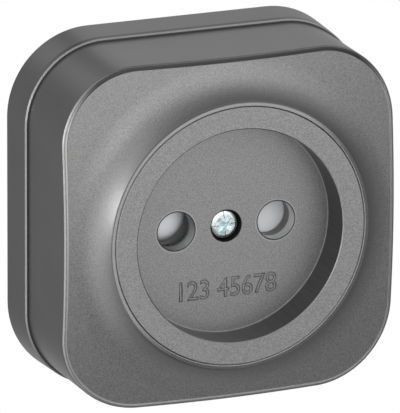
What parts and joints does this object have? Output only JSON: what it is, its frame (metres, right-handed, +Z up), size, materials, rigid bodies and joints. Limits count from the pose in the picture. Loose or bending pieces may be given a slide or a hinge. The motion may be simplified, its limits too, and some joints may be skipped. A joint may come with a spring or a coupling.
{
  "type": "surface-mounted two-pin wall socket",
  "caption": "Surface-mounted rounded-square wall socket for a two-pin plug without earth, with a flared cover, a round plug recess and a sprung safety shutter.",
  "frame": {"origin": "centre of the flat back face, on the wall plane", "axes": "+Z up the wall, front of the socket towards -Y, +X to the right as seen from the front"},
  "size_m": [0.0644, 0.0303, 0.0644],
  "materials": {
    "grey_lacquer": "moulded plastic with dark grey metallic lacquer",
    "grey_lacquer_insert": "moulded plastic with dark grey metallic lacquer, fine sparkle",
    "zinc_steel": "bright zinc plating with a faint blue tint",
    "plain_steel": "zinc plated steel",
    "spring_steel": "spring steel",
    "carrier_plastic": "light grey moulded plastic",
    "contact_brass": "bare stamped brass",
    "shutter_plastic": "smooth white plastic"
  },
  "bodies": {
    "socket": {"base": "grey_lacquer", "front_cover": "grey_lacquer", "socket_insert": "grey_lacquer_insert", "centre_screw": "zinc_steel", "centre_nut": "plain_steel", "contact_carrier": "carrier_plastic", "contact_left": "contact_brass", "contact_right": "contact_brass", "contact_ring_left": "spring_steel", "contact_ring_right": "spring_steel", "clamp_plate_left": "plain_steel", "clamp_plate_right": "plain_steel", "terminal_screw_left_upper": "plain_steel", "terminal_screw_left_lower": "plain_steel", "terminal_screw_right_upper": "plain_steel", "terminal_screw_right_lower": "plain_steel", "carrier_screw_upper": "plain_steel", "carrier_screw_lower": "plain_steel", "shutter_spring": "spring_steel"},
    "shutter": {"shutter": "shutter_plastic"}
  },
  "joints": [
    {"name": "shutter_turn", "type": "hinge", "parent": "socket", "child": "shutter", "pos_m": [0, -0.016, 0], "axis": [0, 1, 0], "range_deg": [0, 40], "stiffness_Nm_per_rad": 0.002, "springref_deg": -20.05, "deforming": ["shutter_spring"]}
  ]
}
